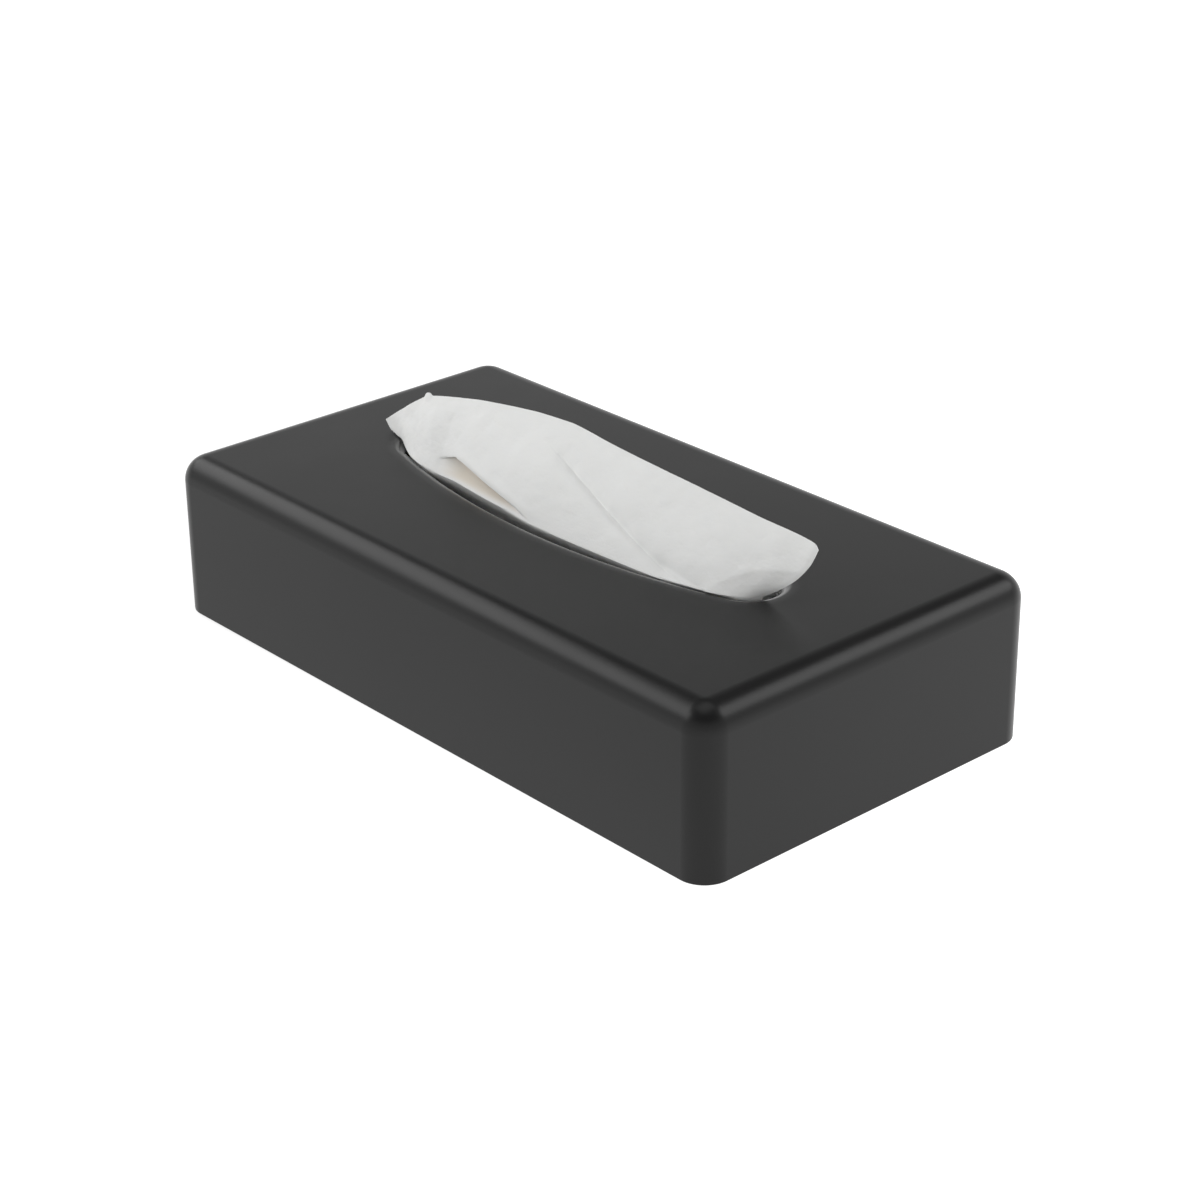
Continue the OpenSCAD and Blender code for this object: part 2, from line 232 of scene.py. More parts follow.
class Board:
    """The nodes of one material, or of the room."""

    def __init__(self, tree):
        self.tree = tree

    def node(self, kind, settings=None, inputs=None):
        made = self.tree.nodes.new(kind)
        for name, value in (settings or {}).items():
            if name == "stops":
                ramp = made.color_ramp
                while len(ramp.elements) < len(value):
                    ramp.elements.new(0.5)
                for element, (place, shade) in zip(ramp.elements, value):
                    element.position = place
                    element.color = (shade, shade, shade, 1)
            else:
                setattr(made, name, value)
        for where, value in (inputs or {}).items():
            self.feed(made.inputs[where], value)
        return Made(self, made)

    def feed(self, socket, value):
        if isinstance(value, Wire):
            self.tree.links.new(value.socket, socket)
        else:
            socket.default_value = value

    def blend(self, share, a, b):
        """A colour between a and b."""
        mixed = self.node("ShaderNodeMix", {"data_type": "RGBA"}, {0: share, 6: a, 7: b})
        return mixed.out(2)

    def between(self, value, low, high, to_low=0.0, to_high=1.0):
        """value, spread from low..high to to_low..to_high and held at its ends."""
        spread = self.node("ShaderNodeMapRange", {"interpolation_type": "SMOOTHSTEP"},
                           {0: value, 1: low, 2: high, 3: to_low, 4: to_high})
        return spread.out(0)

    def place(self):
        return self.node("ShaderNodeTexCoord").out("Object")

    def stretched(self, vector, scale):
        return self.node("ShaderNodeVectorMath", {"operation": "MULTIPLY"}, {0: vector, 1: scale}).out(0)

    def vector(self, operation, *vectors):
        """A number from one or two vectors, such as their dot product or a length."""
        made = self.node("ShaderNodeVectorMath", {"operation": operation}, dict(enumerate(vectors)))
        return made.out("Value")

    def cloud(self, vector, size, detail=3.0, rough=0.55):
        """Noise about size metres across, from 0 to 1."""
        made = self.node("ShaderNodeTexNoise", {}, {"Vector": vector, "Scale": 1 / size, "Detail": detail,
                                                   "Roughness": rough})
        return made.out(0)

    def height(self, value, depth, normal=None):
        """A Bump node on value, which stands for depth metres."""
        inputs = {"Height": value, "Distance": depth, "Strength": 1.0}
        if normal is not None:
            inputs["Normal"] = normal
        return self.node("ShaderNodeBump", {}, inputs).out("Normal")


class Finish(Board):
    """A material with one Principled shader. Constants go straight onto its sockets."""

    def __init__(self, name, **constants):
        self.material = bpy.data.materials.new(name)
        self.material.use_nodes = True
        super().__init__(self.material.node_tree)
        self.shader = self.tree.nodes["Principled BSDF"]
        for key, value in constants.items():
            self.shader.inputs[key.replace("_", " ")].default_value = value

    def drive(self, **wires):
        for key, value in wires.items():
            self.feed(self.shader.inputs[key.replace("_", " ")], value)
        return self.material


def rgb(r, g, b):
    return (r, g, b, 1.0)


def moulded_black(name, dark, pale, roughness, grain, grain_depth):
    """Black moulded plastic: fine spark grain, faint clouds, and gloss where paper rubs its lip."""
    f = Finish(name, IOR=1.33, Coat_Roughness=0.14, Coat_IOR=1.6)
    rubbed = f.node("ShaderNodeAttribute", {"attribute_name": "rubbed"}).out("Fac")
    where = f.place()
    clouds = f.cloud(where, 38 * MM, 4)
    specks = f.cloud(where, grain, 2, 0.6)
    handled = f.between(f.cloud(where, 60 * MM, 3), 0.45, 0.7)
    colour = f.blend(clouds * 0.6 + specks * 0.4, dark, pale)
    rough = roughness + (clouds - 0.5) * 0.05 + (specks - 0.5) * 0.06 - handled * 0.02
    relief = f.height(specks, grain_depth)
    return f.drive(Base_Color=colour, Roughness=rough, Coat_Weight=rubbed, Normal=relief)


def rubber(name):
    f = Finish(name, IOR=1.5)
    where = f.place()
    dust = f.between(f.cloud(where, 4 * MM, 5), 0.5, 0.75)
    grain = f.cloud(where, 0.5 * MM, 3)
    colour = f.blend(dust * 0.5, rgb(0.018, 0.018, 0.018), rgb(0.055, 0.053, 0.05))
    return f.drive(Base_Color=colour, Roughness=0.78 + dust * 0.12, Normal=f.height(grain, 0.06 * MM))


def brushed(name, dark, pale, roughness, along, streak):
    """Metal with fine lines along one axis and faint clouds in its plating."""
    f = Finish(name, Metallic=1.0)
    where = f.place()
    stretch = tuple(0.04 if axis == along else 1.0 for axis in range(3))
    lines = f.cloud(f.stretched(where, stretch), streak, 3, 0.6)
    plating = f.cloud(where, 12 * MM, 4)
    colour = f.blend(plating * 0.6 + lines * 0.4, dark, pale)
    rough = roughness + (lines - 0.5) * 0.16 + (plating - 0.5) * 0.1
    return f.drive(Base_Color=colour, Roughness=rough, Normal=f.height(lines, 0.015 * MM))


def tissue(name, cool, warm, shade):
    """Soft two-ply paper: fibres, a light pin emboss, and a painted warm shade deep in the pleat's fold."""
    f = Finish(name, IOR=1.4, Subsurface_Weight=0.12, Subsurface_Scale=0.6 * MM,
               Subsurface_Radius=(1.0, 0.95, 0.85), Sheen_Weight=0.15, Sheen_Roughness=0.6)
    where = f.place()
    flat = f.node("ShaderNodeUVMap", {"uv_map": "flat"}).out(0)
    deep = f.node("ShaderNodeAttribute", {"attribute_name": "deep"}).out("Fac")
    fibres = f.cloud(f.stretched(flat, (1.0, 0.35, 1.0)), 0.35 * MM, 4, 0.65)
    clouds = f.cloud(flat, 9 * MM, 4, 0.6)
    dots = f.node("ShaderNodeTexVoronoi", {"feature": "F1", "voronoi_dimensions": "2D"},
                  {"Vector": flat, "Scale": 1 / (1.3 * MM), "Randomness": 0.35}).out("Distance")
    pins = f.between(dots, 0.12, 0.4)
    crumple = f.cloud(where, 6 * MM, 5, 0.6)
    colour = f.blend(clouds * 0.7 + fibres * 0.3, cool, warm)
    # Painted shade: inside the pleat's fold the paper colour turns to the darker, warmer shade colour.
    colour = f.blend(deep, colour, shade)
    relief = f.height(fibres * 0.45 + pins * 0.3, 0.03 * MM, f.height(crumple, 0.25 * MM))
    return f.drive(Base_Color=colour, Roughness=0.86 + fibres * 0.1, Normal=relief)


SATIN = moulded_black("cover_satin_black", rgb(0.0065, 0.0066, 0.0066), rgb(0.0105, 0.0105, 0.0105),
                      roughness=0.33, grain=0.32 * MM, grain_depth=0.006 * MM)
TRAY = moulded_black("tray_black", rgb(0.016, 0.016, 0.0165), rgb(0.028, 0.028, 0.028),
                     roughness=0.5, grain=0.5 * MM, grain_depth=0.03 * MM)
RUBBER = rubber("foot_rubber")
ALONG_X, ALONG_Z = 0, 2
GUIDE = brushed("guide_zinc_steel", rgb(0.42, 0.43, 0.45), rgb(0.62, 0.63, 0.65),
                roughness=0.36, along=ALONG_Z, streak=0.35 * MM)
PLATE = brushed("plate_zinc_steel", rgb(0.42, 0.43, 0.45), rgb(0.6, 0.61, 0.63),
                roughness=0.38, along=ALONG_X, streak=0.35 * MM)
SCREW = brushed("screw_bright_steel", rgb(0.5, 0.5, 0.52), rgb(0.7, 0.7, 0.72),
                roughness=0.25, along=ALONG_Z, streak=0.2 * MM)
WIRE = brushed("spring_wire_steel", rgb(0.36, 0.36, 0.38), rgb(0.58, 0.58, 0.6),
               roughness=0.28, along=ALONG_Z, streak=0.25 * MM)
NICKEL = brushed("magnet_nickel", rgb(0.58, 0.56, 0.52), rgb(0.74, 0.72, 0.68),
                 roughness=0.2, along=ALONG_Z, streak=0.6 * MM)
# The third colour is the painted shade for the paper deep under the pleat's fold.
PAPER = tissue("napkin_paper", rgb(0.735, 0.745, 0.735), rgb(0.775, 0.775, 0.765), rgb(0.68, 0.63, 0.555))

# ---------- cover: one moulding with a rolled slot lip ----------

CORNER_STEPS = 20
EDGE_STEPS = 14
BORDER = 0.5 * MM
RING_OUT = 2.5 * MM
LIP_STEPS = 9
END_ARC_STEPS = 26
SIDE_ARC_STEPS = 40
BREAK = 0.45 * MM
RUB_OUT = 0.3 * MM
RUB_IN = 0.7 * MM
POST_R = 5.5 * MM
POCKET_R = 4.05 * MM
POCKET_EXTRA = 0.05 * MM
WEB_T = 1.6 * MM


def slot_ring(piece):
    """Adds the flat ring round the slot and the wall that drops from it, spun arc after arc."""
    inner_r, outer_r = END_R - LIP_R, END_R + RING_OUT
    start = MEET - math.pi / 2
    middle, depth = (inner_r + outer_r) / 2, LIP_R + LIP_DROP
    spot = Vector((END_X + middle * math.cos(start), middle * math.sin(start), TOP_Z - depth / 2))
    bpy.ops.mesh.select_all(action="DESELECT")
    bpy.ops.mesh.primitive_plane_add(size=1, location=spot, rotation=(math.pi / 2, 0, start))
    away = Vector((math.cos(start), math.sin(start), 0))
    bpy.ops.transform.resize(value=(outer_r - inner_r, outer_r - inner_r, depth), center_override=spot)
    pick(piece, "VERT", lambda v: (v.co - spot).dot(away) > 0 and abs(v.co.z - TOP_Z + depth) < 0.01 * MM
         and (v.co - spot).length < 20 * MM)
    bpy.ops.mesh.delete(type="VERT")
    pick(piece, "VERT", lambda v: (v.co - spot).length < (outer_r - inner_r) and not v.link_faces)
    end, side = (math.pi - 2 * MEET, END_ARC_STEPS), (2 * MEET, SIDE_ARC_STEPS)
    arcs = [((END_X, 0), end), ((0, -SIDE_Y), side), ((-END_X, 0), end), ((0, SIDE_Y), side)]
    for (x, y), (angle, steps) in arcs:
        bpy.ops.mesh.spin(steps=steps, angle=-angle, center=(x, y, 0), axis=UP)
    bpy.ops.mesh.select_all(action="SELECT")
    bpy.ops.mesh.remove_doubles(threshold=0.005 * MM)


def corner_post():
    """One post with its magnet pocket, and the two webs that tie it to the walls, at the front right."""
    middle = (MAGNET_LOW + MAGNET_HIGH) / 2
    low, high = MAGNET_LOW.z - POCKET_EXTRA, TOP_Z - WALL * 0.6
    pocket_h = MAGNET_HIGH.z - MAGNET_LOW.z + POCKET_EXTRA
    deselect()
    bpy.ops.mesh.primitive_cylinder_add(vertices=64, radius=POST_R, depth=high - low,
                                        location=(middle.x, middle.y, (low + high) / 2))
    post = named("corner_post")
    settle()
    edit()
    pick(post, "FACE", lambda f: f.normal.z < -0.9)
    bpy.ops.mesh.inset(thickness=POST_R - POCKET_R)
    bpy.ops.mesh.extrude_region_move(TRANSFORM_OT_translate={"value": (0, 0, pocket_h)})
    pick(post, "EDGE", lambda e: at_height(e, low) and folded(e))
    bpy.ops.mesh.bevel(offset=0.3 * MM, segments=3, affect="EDGES")
    leave()
    webs = []
    web_low, web_high = TRAY_HIGH.z + 1 * MM, TOP_Z - WALL / 2 - EDGE_R
    for axis, wall in ((0, COVER_HIGH.x), (1, COVER_LOW.y)):
        reach = wall - middle[axis] - math.copysign(WALL / 2, wall)
        spot = Vector((middle.x, middle.y, (web_low + web_high) / 2))
        spot[axis] += reach / 2
        size = Vector((WEB_T, WEB_T, web_high - web_low))
        size[axis] = abs(reach)
        deselect()
        bpy.ops.mesh.primitive_cube_add(size=1, location=spot, scale=size)
        web = named("post_web")
        settle()
        edit()
        pick(web, "EDGE", lambda e: at_height(e, web_low))
        bpy.ops.mesh.bevel(offset=0.4 * MM, segments=2, affect="EDGES")
        leave()
        webs.append(web)
    return join(*webs, post)


def corner_posts():
    """The four posts, each a quarter turn on from the one before and shifted back to its corner."""
    post = corner_post()
    others = [copy_of(post, "corner_post_%d" % turn) for turn in (1, 2, 3)]
    centre = (MAGNET_LOW + MAGNET_HIGH) / 2
    for turn, other in enumerate(others, 1):
        quarter_turns = Matrix.Rotation(turn * math.pi / 2, 4, "Z")
        spot = quarter_turns @ Vector((centre.x, centre.y, 0))
        aim = Vector((math.copysign(centre.x, spot.x), math.copysign(centre.y, spot.y), 0))
        other.data.transform(Matrix.Translation(aim - spot) @ quarter_turns)
    return [post, *others]


def cover_walls_and_top():
    """The box with its rounded edges, the slot and its rolled lip, given its wall thickness."""
    deselect()
    middle = (COVER_LOW + COVER_HIGH) / 2
    bpy.ops.mesh.primitive_cube_add(size=1, location=middle, scale=COVER_SIZE)
    cover = named("cover_moulding")
    settle()
    edit()
    pick(cover, "EDGE", lambda e: abs(e.verts[0].co.z - e.verts[1].co.z) > COVER_SIZE.z / 2)
    bpy.ops.mesh.bevel(offset=CORNER_R, segments=CORNER_STEPS, affect="EDGES")
    pick(cover, "EDGE", lambda e: at_height(e, TOP_Z))
    bpy.ops.mesh.bevel(offset=EDGE_R, segments=EDGE_STEPS, affect="EDGES", clamp_overlap=False)
    pick(cover, "FACE", lambda f: f.normal.z < -0.9)
    bpy.ops.mesh.delete(type="FACE")
    pick(cover, "FACE", lambda f: f.normal.z > 0.99999 and f.calc_area() > 0.01)
    bpy.ops.mesh.inset(thickness=BORDER)
    bpy.ops.mesh.delete(type="FACE")
    slot_ring(cover)
    pick(cover, "EDGE", lambda e: e.is_boundary and at_height(e, TOP_Z))
    bpy.ops.mesh.fill(use_beauty=True)
    bpy.ops.mesh.select_all(action="SELECT")
    bpy.ops.mesh.normals_make_consistent(inside=False)
    pick(cover, "EDGE", lambda e: at_height(e, TOP_Z) and folded(e))
    bpy.ops.mesh.bevel(offset=LIP_R, segments=LIP_STEPS, affect="EDGES", clamp_overlap=False)
    leave()
    shape = cover.data
    if sum(p.normal.z * p.area for p in shape.polygons if p.center.z > TOP_Z - 0.1 * MM) < 0:
        shape.flip_normals()
    apply_modifier(cover, "SOLIDIFY", thickness=WALL, offset=-1.0, use_even_offset=True)
    edit()
    lip_low = TOP_Z - LIP_R - LIP_DROP
    pick(cover, "EDGE", lambda e: (at_height(e, COVER_LOW.z) or at_height(e, lip_low)) and folded(e))
    bpy.ops.mesh.bevel(offset=BREAK, segments=3, affect="EDGES")
    leave()
    return cover


def mark_rubbed_lip(cover):
    """An attribute that is 1 on the rolled lip, where the paper rubs it, and 0 away from it."""
    spots = np.array([v.co for v in cover.data.vertices])
    share = ease(slot_depth(spots[:, 0], spots[:, 1]), -RUB_OUT, RUB_IN)
    rubbed = cover.data.attributes.new("rubbed", "FLOAT", "POINT")
    rubbed.data.foreach_set("value", share.astype(np.float32))


def cover_moulding():
    cover = cover_walls_and_top()
    join(*corner_posts(), cover)
    smooth(cover, 32, weighted=True)
    mark_rubbed_lip(cover)
    cover.data.materials.clear()
    cover.data.materials.append(SATIN)
    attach(cover, "cover")
    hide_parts("cover_shell")


# ---------- popped-up napkin ----------

SHEET_T = 0.4 * MM
NAPKIN_W = 200 * MM
ACROSS = 300
ABOVE = 100
BELOW = 34
FOLD_ROW = 0.16
CLEAR = 0.45 * MM
# Where the sheet crosses the level of the cover's top, and its free edge: share of the half width,
# then x, y and height above the top, in millimetres.
SLOT_LINE = [
    (-1, -84.5, -4.5, 1.0), (-0.81, -68, -12.6, 0.3), (-0.62, -50, -15, 0.2), (-0.35, -22, -17.8, 0),
    (-0.12, 1, -18.6, 0), (0.16, 29, -17.9, 0), (0.42, 53, -16.2, 0), (0.6, 68, -13.4, 0.3),
    (0.75, 75, -10.6, 0.3), (0.9, 80, -6.5, 0.2), (1, 82, -3, 0)]
FREE_EDGE = [
    (-1, -96.8, -1, 2.4), (-0.767, -75.5, -0.7, 16.6), (-0.526, -51, 0.8, 22), (-0.235, -25, 4.3, 24.2),
    (-0.068, -10, 6, 24.2), (0.145, 11, 6, 22.3), (0.51, 47, 6, 20.4), (0.775, 73, 6, 18.9),
    (0.942, 90.2, 5.5, 18.7), (0.985, 95.2, 5, 18.2), (1, 96.4, 4.8, 17.0)]
EDGE_STIFFNESS = 0.55
# Creases: from and to as (share of the half width, share of the height), then how far the sheet comes
# forward there in millimetres, how wide the crease is and how blunt.
VALLEY = ((-0.1, 0.68), (0.46, 0.05), -1.9, 0.024, 0.002)
VALLEY_TAIL = ((0.40, 0.16), (0.60, 0.0), -0.6, 0.022, 0.003)
CORNER_RIDGE = ((0.62, 0.02), (1.0, 0.60), 0.35, 0.03, 0.006)
FLUTE_BLUNT = 0.012
FLUTES = [
    ((-0.86, 0.9), (-0.8, 0.0), -0.55, 0.035, FLUTE_BLUNT),
    ((-0.72, 0.8), (-0.70, 0.05), 0.5, 0.04, FLUTE_BLUNT),
    ((-0.62, 0.75), (-0.66, 0.05), -0.6, 0.04, FLUTE_BLUNT),
    ((-0.45, 0.95), (-0.42, 0.4), -0.35, 0.05, FLUTE_BLUNT),
    ((0.1, 0.95), (0.3, 0.45), 0.25, 0.06, FLUTE_BLUNT), ((0.5, 0.9), (0.62, 0.3), -0.2, 0.05, FLUTE_BLUNT)]
# The pleat's slanting fold: share of the half width, then share of the height
PLEAT_FOLD = [
    (-1, 0.2), (-0.66, 0.22), (-0.575, 0.30), (-0.38, 0.165), (-0.17, 0.04), (0.1, 0.16), (1, 0.2)]
PLEAT_DEPTH = 4.4 * MM
TAB_AT = -0.755
TAB_HALF = 0.016
TAB_RISE = 1.2 * MM
RIGHT_BOW = 3.3 * MM
RIGHT_SAG = 0.9 * MM
LEFT_SAG = 1.6 * MM
# Below the slot: how much narrower the sheet gets, how far back it reaches, and how high over the pack
# it ends
GATHERED = 0.035
REACH_BACK = 7 * MM
ABOVE_PACK = 0.6 * MM
# Share of the dents that is left where the slot holds the sheet
CALM_AT_SLOT = 0.15
# The sheet's height over half its width, for distances across its creases
SHEET_ASPECT = 0.34


def through(keys, s, stiff=0.0):
    """Curve through the keys, for every s: round at stiff 0, straight from key to key at stiff 1."""
    k = np.array(keys, float)
    at, value = k[:, 0], k[:, 1:]
    slope = np.gradient(value, at, axis=0)
    i = np.clip(np.searchsorted(at, s, side="right") - 1, 0, len(at) - 2)
    step = (at[i + 1] - at[i])[..., None]
    u = ((s - at[i])[..., None]) / step
    round_line = (value[i] * (2 * u**3 - 3 * u**2 + 1) + slope[i] * step * (u**3 - 2 * u**2 + u)
                  + value[i + 1] * (3 * u**2 - 2 * u**3) + slope[i + 1] * step * (u**3 - u**2))
    straight_line = value[i] * (1 - u) + value[i + 1] * u
    return stiff * straight_line + (1 - stiff) * round_line


def ease(value, low, high):
    """0 below low, 1 above high, smooth between."""
    u = np.clip((value - low) / (high - low), 0, 1)
    return u * u * (3 - 2 * u)


def crease(s, t, a, b, width, blunt):
    """1 on the line from a to b across the sheet, falling away to both sides and at its ends."""
    d = np.array([b[0] - a[0], (b[1] - a[1]) * SHEET_ASPECT])
    length = np.hypot(*d)
    d = d / length
    x, y = s - a[0], (t - a[1]) * SHEET_ASPECT
    along_it, off = x * d[0] + y * d[1], x * -d[1] + y * d[0]
    near = np.sqrt(off**2 + blunt**2) - blunt
    ends = ease(along_it, -0.12 * length, 0.15 * length)
    ends = ends * (1 - ease(along_it, 0.85 * length, 1.12 * length))
    return np.exp(-near / width) * ends


def slot_depth(x, y):
    """How far a point lies inside the slot's line, in metres; negative outside it."""
    x, y = np.abs(x), np.abs(y)
    on_end = (x - END_X) * math.cos(MEET) - y * math.sin(MEET) > 0
    return np.where(on_end, END_R - np.hypot(x - END_X, y), SIDE_R - np.hypot(x, y + SIDE_Y))


def slot_inward(x, y):
    """The way into the slot at a point, along X and Y."""
    on_end = (np.abs(x) - END_X) * math.cos(MEET) - np.abs(y) * math.sin(MEET) > 0
    cx = np.where(on_end, np.sign(x) * END_X, 0)
    cy = np.where(on_end, 0, -np.sign(y) * SIDE_Y)
    far = np.hypot(cx - x, cy - y) + 1e-9
    return (cx - x) / far, (cy - y) / far


def pop_up_shape():
    """Points of the sheet, rows from the slot up to the free edge, and how much painted shade each gets
    under the pleat's fold.
    """
    s, row = np.meshgrid(np.linspace(-1, 1, ACROSS + 1), np.linspace(0, 1, ABOVE + 1))
    base, edge = through(SLOT_LINE, s) * MM, through(FREE_EDGE, s, EDGE_STIFFNESS) * MM
    # One row of the grid runs along the slanting fold of the pleat, so that its edge is clean
    fold_t = np.interp(s, *zip(*PLEAT_FOLD))
    over_fold = fold_t + (row - FOLD_ROW) / (1 - FOLD_ROW) * (1 - fold_t)
    t = np.where(row < FOLD_ROW, row / FOLD_ROW * fold_t, over_fold)
    rise = edge - base
    p = base + rise * t[..., None]
    front = np.stack([np.zeros_like(t), -rise[..., 2], rise[..., 1]], -1)
    front /= np.linalg.norm(front, axis=-1, keepdims=True)
    hump = np.sin(np.pi * t)
    belly = 2.2 * np.exp(-(((s + 0.12) / 0.34) ** 2)) * hump
    right_belly = 0.5 * np.exp(-(((s - 0.7) / 0.3) ** 2)) * hump
    out = belly + right_belly
    for start, stop, size, width, blunt in (VALLEY, VALLEY_TAIL, CORNER_RIDGE, *FLUTES):
        out += size * crease(s, t, start, stop, width, blunt)
    # The pleat: under its slanting fold the sheet lies further back, least of all at the slot
    back = ease(s, -0.68, -0.54) * (1 - ease(s, -0.34, -0.15)) * ease(fold_t - t, 0.0, 0.035)
    roll = np.exp(-(((t - fold_t - 0.04) / 0.05) ** 2))
    out += 0.5 * roll * ease(s, -0.6, -0.5) * (1 - ease(s, -0.25, -0.1))
    p += front * (out * MM)[..., None]
    p[..., 1] += PLEAT_DEPTH * back * (0.3 + 0.7 * ease(t, 0.0, 0.12))
    # Both side edges bow, and a small tab stands up on the free edge
    p[..., 0] += RIGHT_BOW * hump * ease(s, 0.8, 1.0)
    p[..., 2] -= RIGHT_SAG * hump * ease(s, 0.85, 1.0)
    p[..., 2] -= LEFT_SAG * hump * ease(-s, 0.9, 1.0)
    tab = np.exp(-(((s - TAB_AT) / TAB_HALF) ** 4)) * ease(t, 0.9, 1.0)
    p[..., 2] += TAB_RISE * tab
    # Painted shade mask: 1 deep under the pleat's slanting fold, where the paper colour is darkened and
    # warmed, 0 elsewhere.
    deep = back * ease(fold_t - t, 0.0, 0.05) * ease(t, 0.0, 0.05)
    return p, deep, s, t


def below_shape(first):
    """Rows from the pack up to just under the row called first."""
    w = np.linspace(1, 0, BELOW + 1)[:-1, None]
    pack_gap = TOP_Z - PACK_HIGH.z - ABOVE_PACK
    top_x, top_y, top_z = first[None, :, 0], first[None, :, 1], first[None, :, 2]
    x = top_x * (1 - GATHERED * ease(w, 0, 0.3))
    y = top_y * (1 - w) ** 1.1 + REACH_BACK * ease(w, 0.5, 1.0)
    z = top_z - (pack_gap + top_z) * w**0.85
    return np.stack([x + 0 * y, y, z + 0 * x], -1)


def crumpled(p, amount, size, seed):
    """Small even dents over the sheet, the same at each run."""
    shift = Vector((seed * 7.3, seed * 3.1, seed * 1.7))
    flat = p.reshape(-1, 3)
    move = np.array([noise.fractal(Vector(q) / size + shift, 0.9, 2.0, 3) for q in flat])
    return (move * amount).reshape(p.shape[:-1])


def keep_off_lip(points):
    """Moves the points that come too close to the lip or the cover's top, heights measured from the top."""
    for _ in range(3):
        x, y, z = points[..., 0], points[..., 1], points[..., 2]
        down = np.clip(-(z - CLEAR), 0, LIP_R)
        lip_in = np.sqrt(np.clip(LIP_R**2 - (LIP_R - down) ** 2, 0, None)) + CLEAR
        short = np.where(z < CLEAR, np.clip(lip_in - slot_depth(x, y), 0, None), 0)
        nx, ny = slot_inward(x, y)
        points[..., 0] += nx * short
        points[..., 1] += ny * short
    outside = slot_depth(points[..., 0], points[..., 1]) < 0
    points[..., 2] = np.where(outside, np.maximum(points[..., 2], CLEAR), points[..., 2])


def pop_up_napkin():
    p, deep, s, t = pop_up_shape()
    lower = below_shape(p[0])
    points = np.concatenate([lower, p])
    deep = np.concatenate([np.zeros(lower.shape[:2]), deep])
    dents = crumpled(points, 0.55 * MM, 17 * MM, 3) + crumpled(points, 0.16 * MM, 5 * MM, 5)
    dents[-len(t):] *= CALM_AT_SLOT + (1 - CALM_AT_SLOT) * ease(t, 0.0, 0.25)
    dents[:-len(t)] *= CALM_AT_SLOT
    points[..., 1] -= dents * 0.7
    points[..., 2] += dents * 0.35
    keep_off_lip(points)
    points[..., 2] += TOP_Z
    rows, columns = points.shape[:2]
    run = np.linalg.norm(np.diff(points, axis=0), axis=-1)
    flat_v = np.concatenate([np.zeros((1, columns)), np.cumsum(run, 0)])
    flat = np.stack([np.broadcast_to(s[0] * NAPKIN_W / 2, (rows, columns)), flat_v], -1)
    napkin = sheet_mesh("pop_up_napkin", points, flat)
    # The painted shade mask of the pleat's fold goes onto the mesh, for the paper material to read.
    mark = napkin.data.attributes.new("deep", "FLOAT", "POINT")
    mark.data.foreach_set("value", deep.astype(np.float32).ravel())
    apply_modifier(napkin, "SOLIDIFY", thickness=SHEET_T, offset=0.0)
    smooth(napkin, 60)
    napkin.data.materials.append(PAPER)
    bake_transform(napkin)
    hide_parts("top_napkin")


# ---------- pack of interfolded napkins ----------

LEAVES = 14
PLY_T = 0.34 * MM
STACK_SEED = 11
FOLD_STEPS = 7
HALF_STEPS = 15
ALONG_STEPS = 41
# Room left below the first napkin, over all of them together, and at the sides of the pack
STACK_GAP = 0.25 * MM
STACK_SLACK = 0.3 * MM
SIDE_INSET = 0.4 * MM
FOLD_INSET = 0.5 * MM
# How unevenly the napkins lie, in millimetres
FOLD_SPREAD = 0.7
CUT_SHORT = (0.3, 2.2)
WAVE_HIGH, WAVE_LONG = 0.10, 23
ASKEW_Y, ASKEW_X = 0.35, 0.25


def folded_section(rng, half_w, z0, r):
    """A napkin seen from its end: points (y, z) along its lower half, its fold and its upper half."""
    reach = half_w - FOLD_INSET - rng.uniform(0, FOLD_SPREAD) * MM
    short = [rng.uniform(*CUT_SHORT) * MM for _ in range(2)]
    turn = np.linspace(-math.pi / 2, math.pi / 2, FOLD_STEPS)
    flat_y = np.linspace(-half_w, reach - r, HALF_STEPS)[:-1]
    lower = np.stack([flat_y, np.full(len(flat_y), z0)], -1)
    lower[0, 0] += short[0]
    bend = np.stack([reach - r + r * np.cos(turn), z0 + r + r * np.sin(turn)], -1)
    upper = np.stack([flat_y[::-1], np.full(len(flat_y), z0 + 2 * r)], -1)
    upper[-1, 0] += short[1]
    return np.concatenate([lower, bend, upper])


